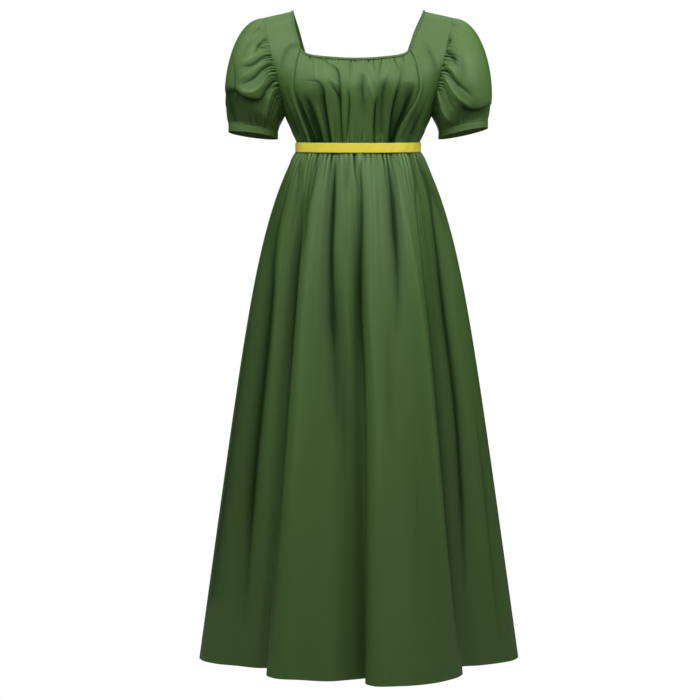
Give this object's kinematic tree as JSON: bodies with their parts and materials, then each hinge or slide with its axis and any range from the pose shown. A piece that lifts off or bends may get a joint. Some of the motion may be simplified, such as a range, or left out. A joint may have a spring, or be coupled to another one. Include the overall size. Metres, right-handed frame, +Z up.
{
  "type": "regency gown",
  "caption": "Floor-length hollow gown, worn form with no wearer: square gathered neckline, puffed short sleeves, raised ribbon waist, long gathered skirt.",
  "frame": {"origin": "midway between the tops of the two shoulder seams, where the wearer's shoulders hold the gown up", "axes": "+Z up, -Y to the front of the gown, +X to the wearer's left"},
  "size_m": [0.6635, 0.6086, 1.3438],
  "materials": {
    "cloth": "smooth plain-woven cotton, soft slight sheen, moss green",
    "ribbon": "narrow yellow satin ribbon"
  },
  "bodies": {
    "root": {"bodice_front": "cloth", "side_front_right": "cloth", "side_front_left": "cloth", "bodice_back": "cloth", "neck_binding": "cloth", "waist_ribbon": "ribbon", "skirt_front": "cloth", "skirt_back": "cloth", "sleeve_right": "cloth", "sleeve_left": "cloth", "cuff_right": "cloth", "cuff_left": "cloth"}
  },
  "joints": []
}
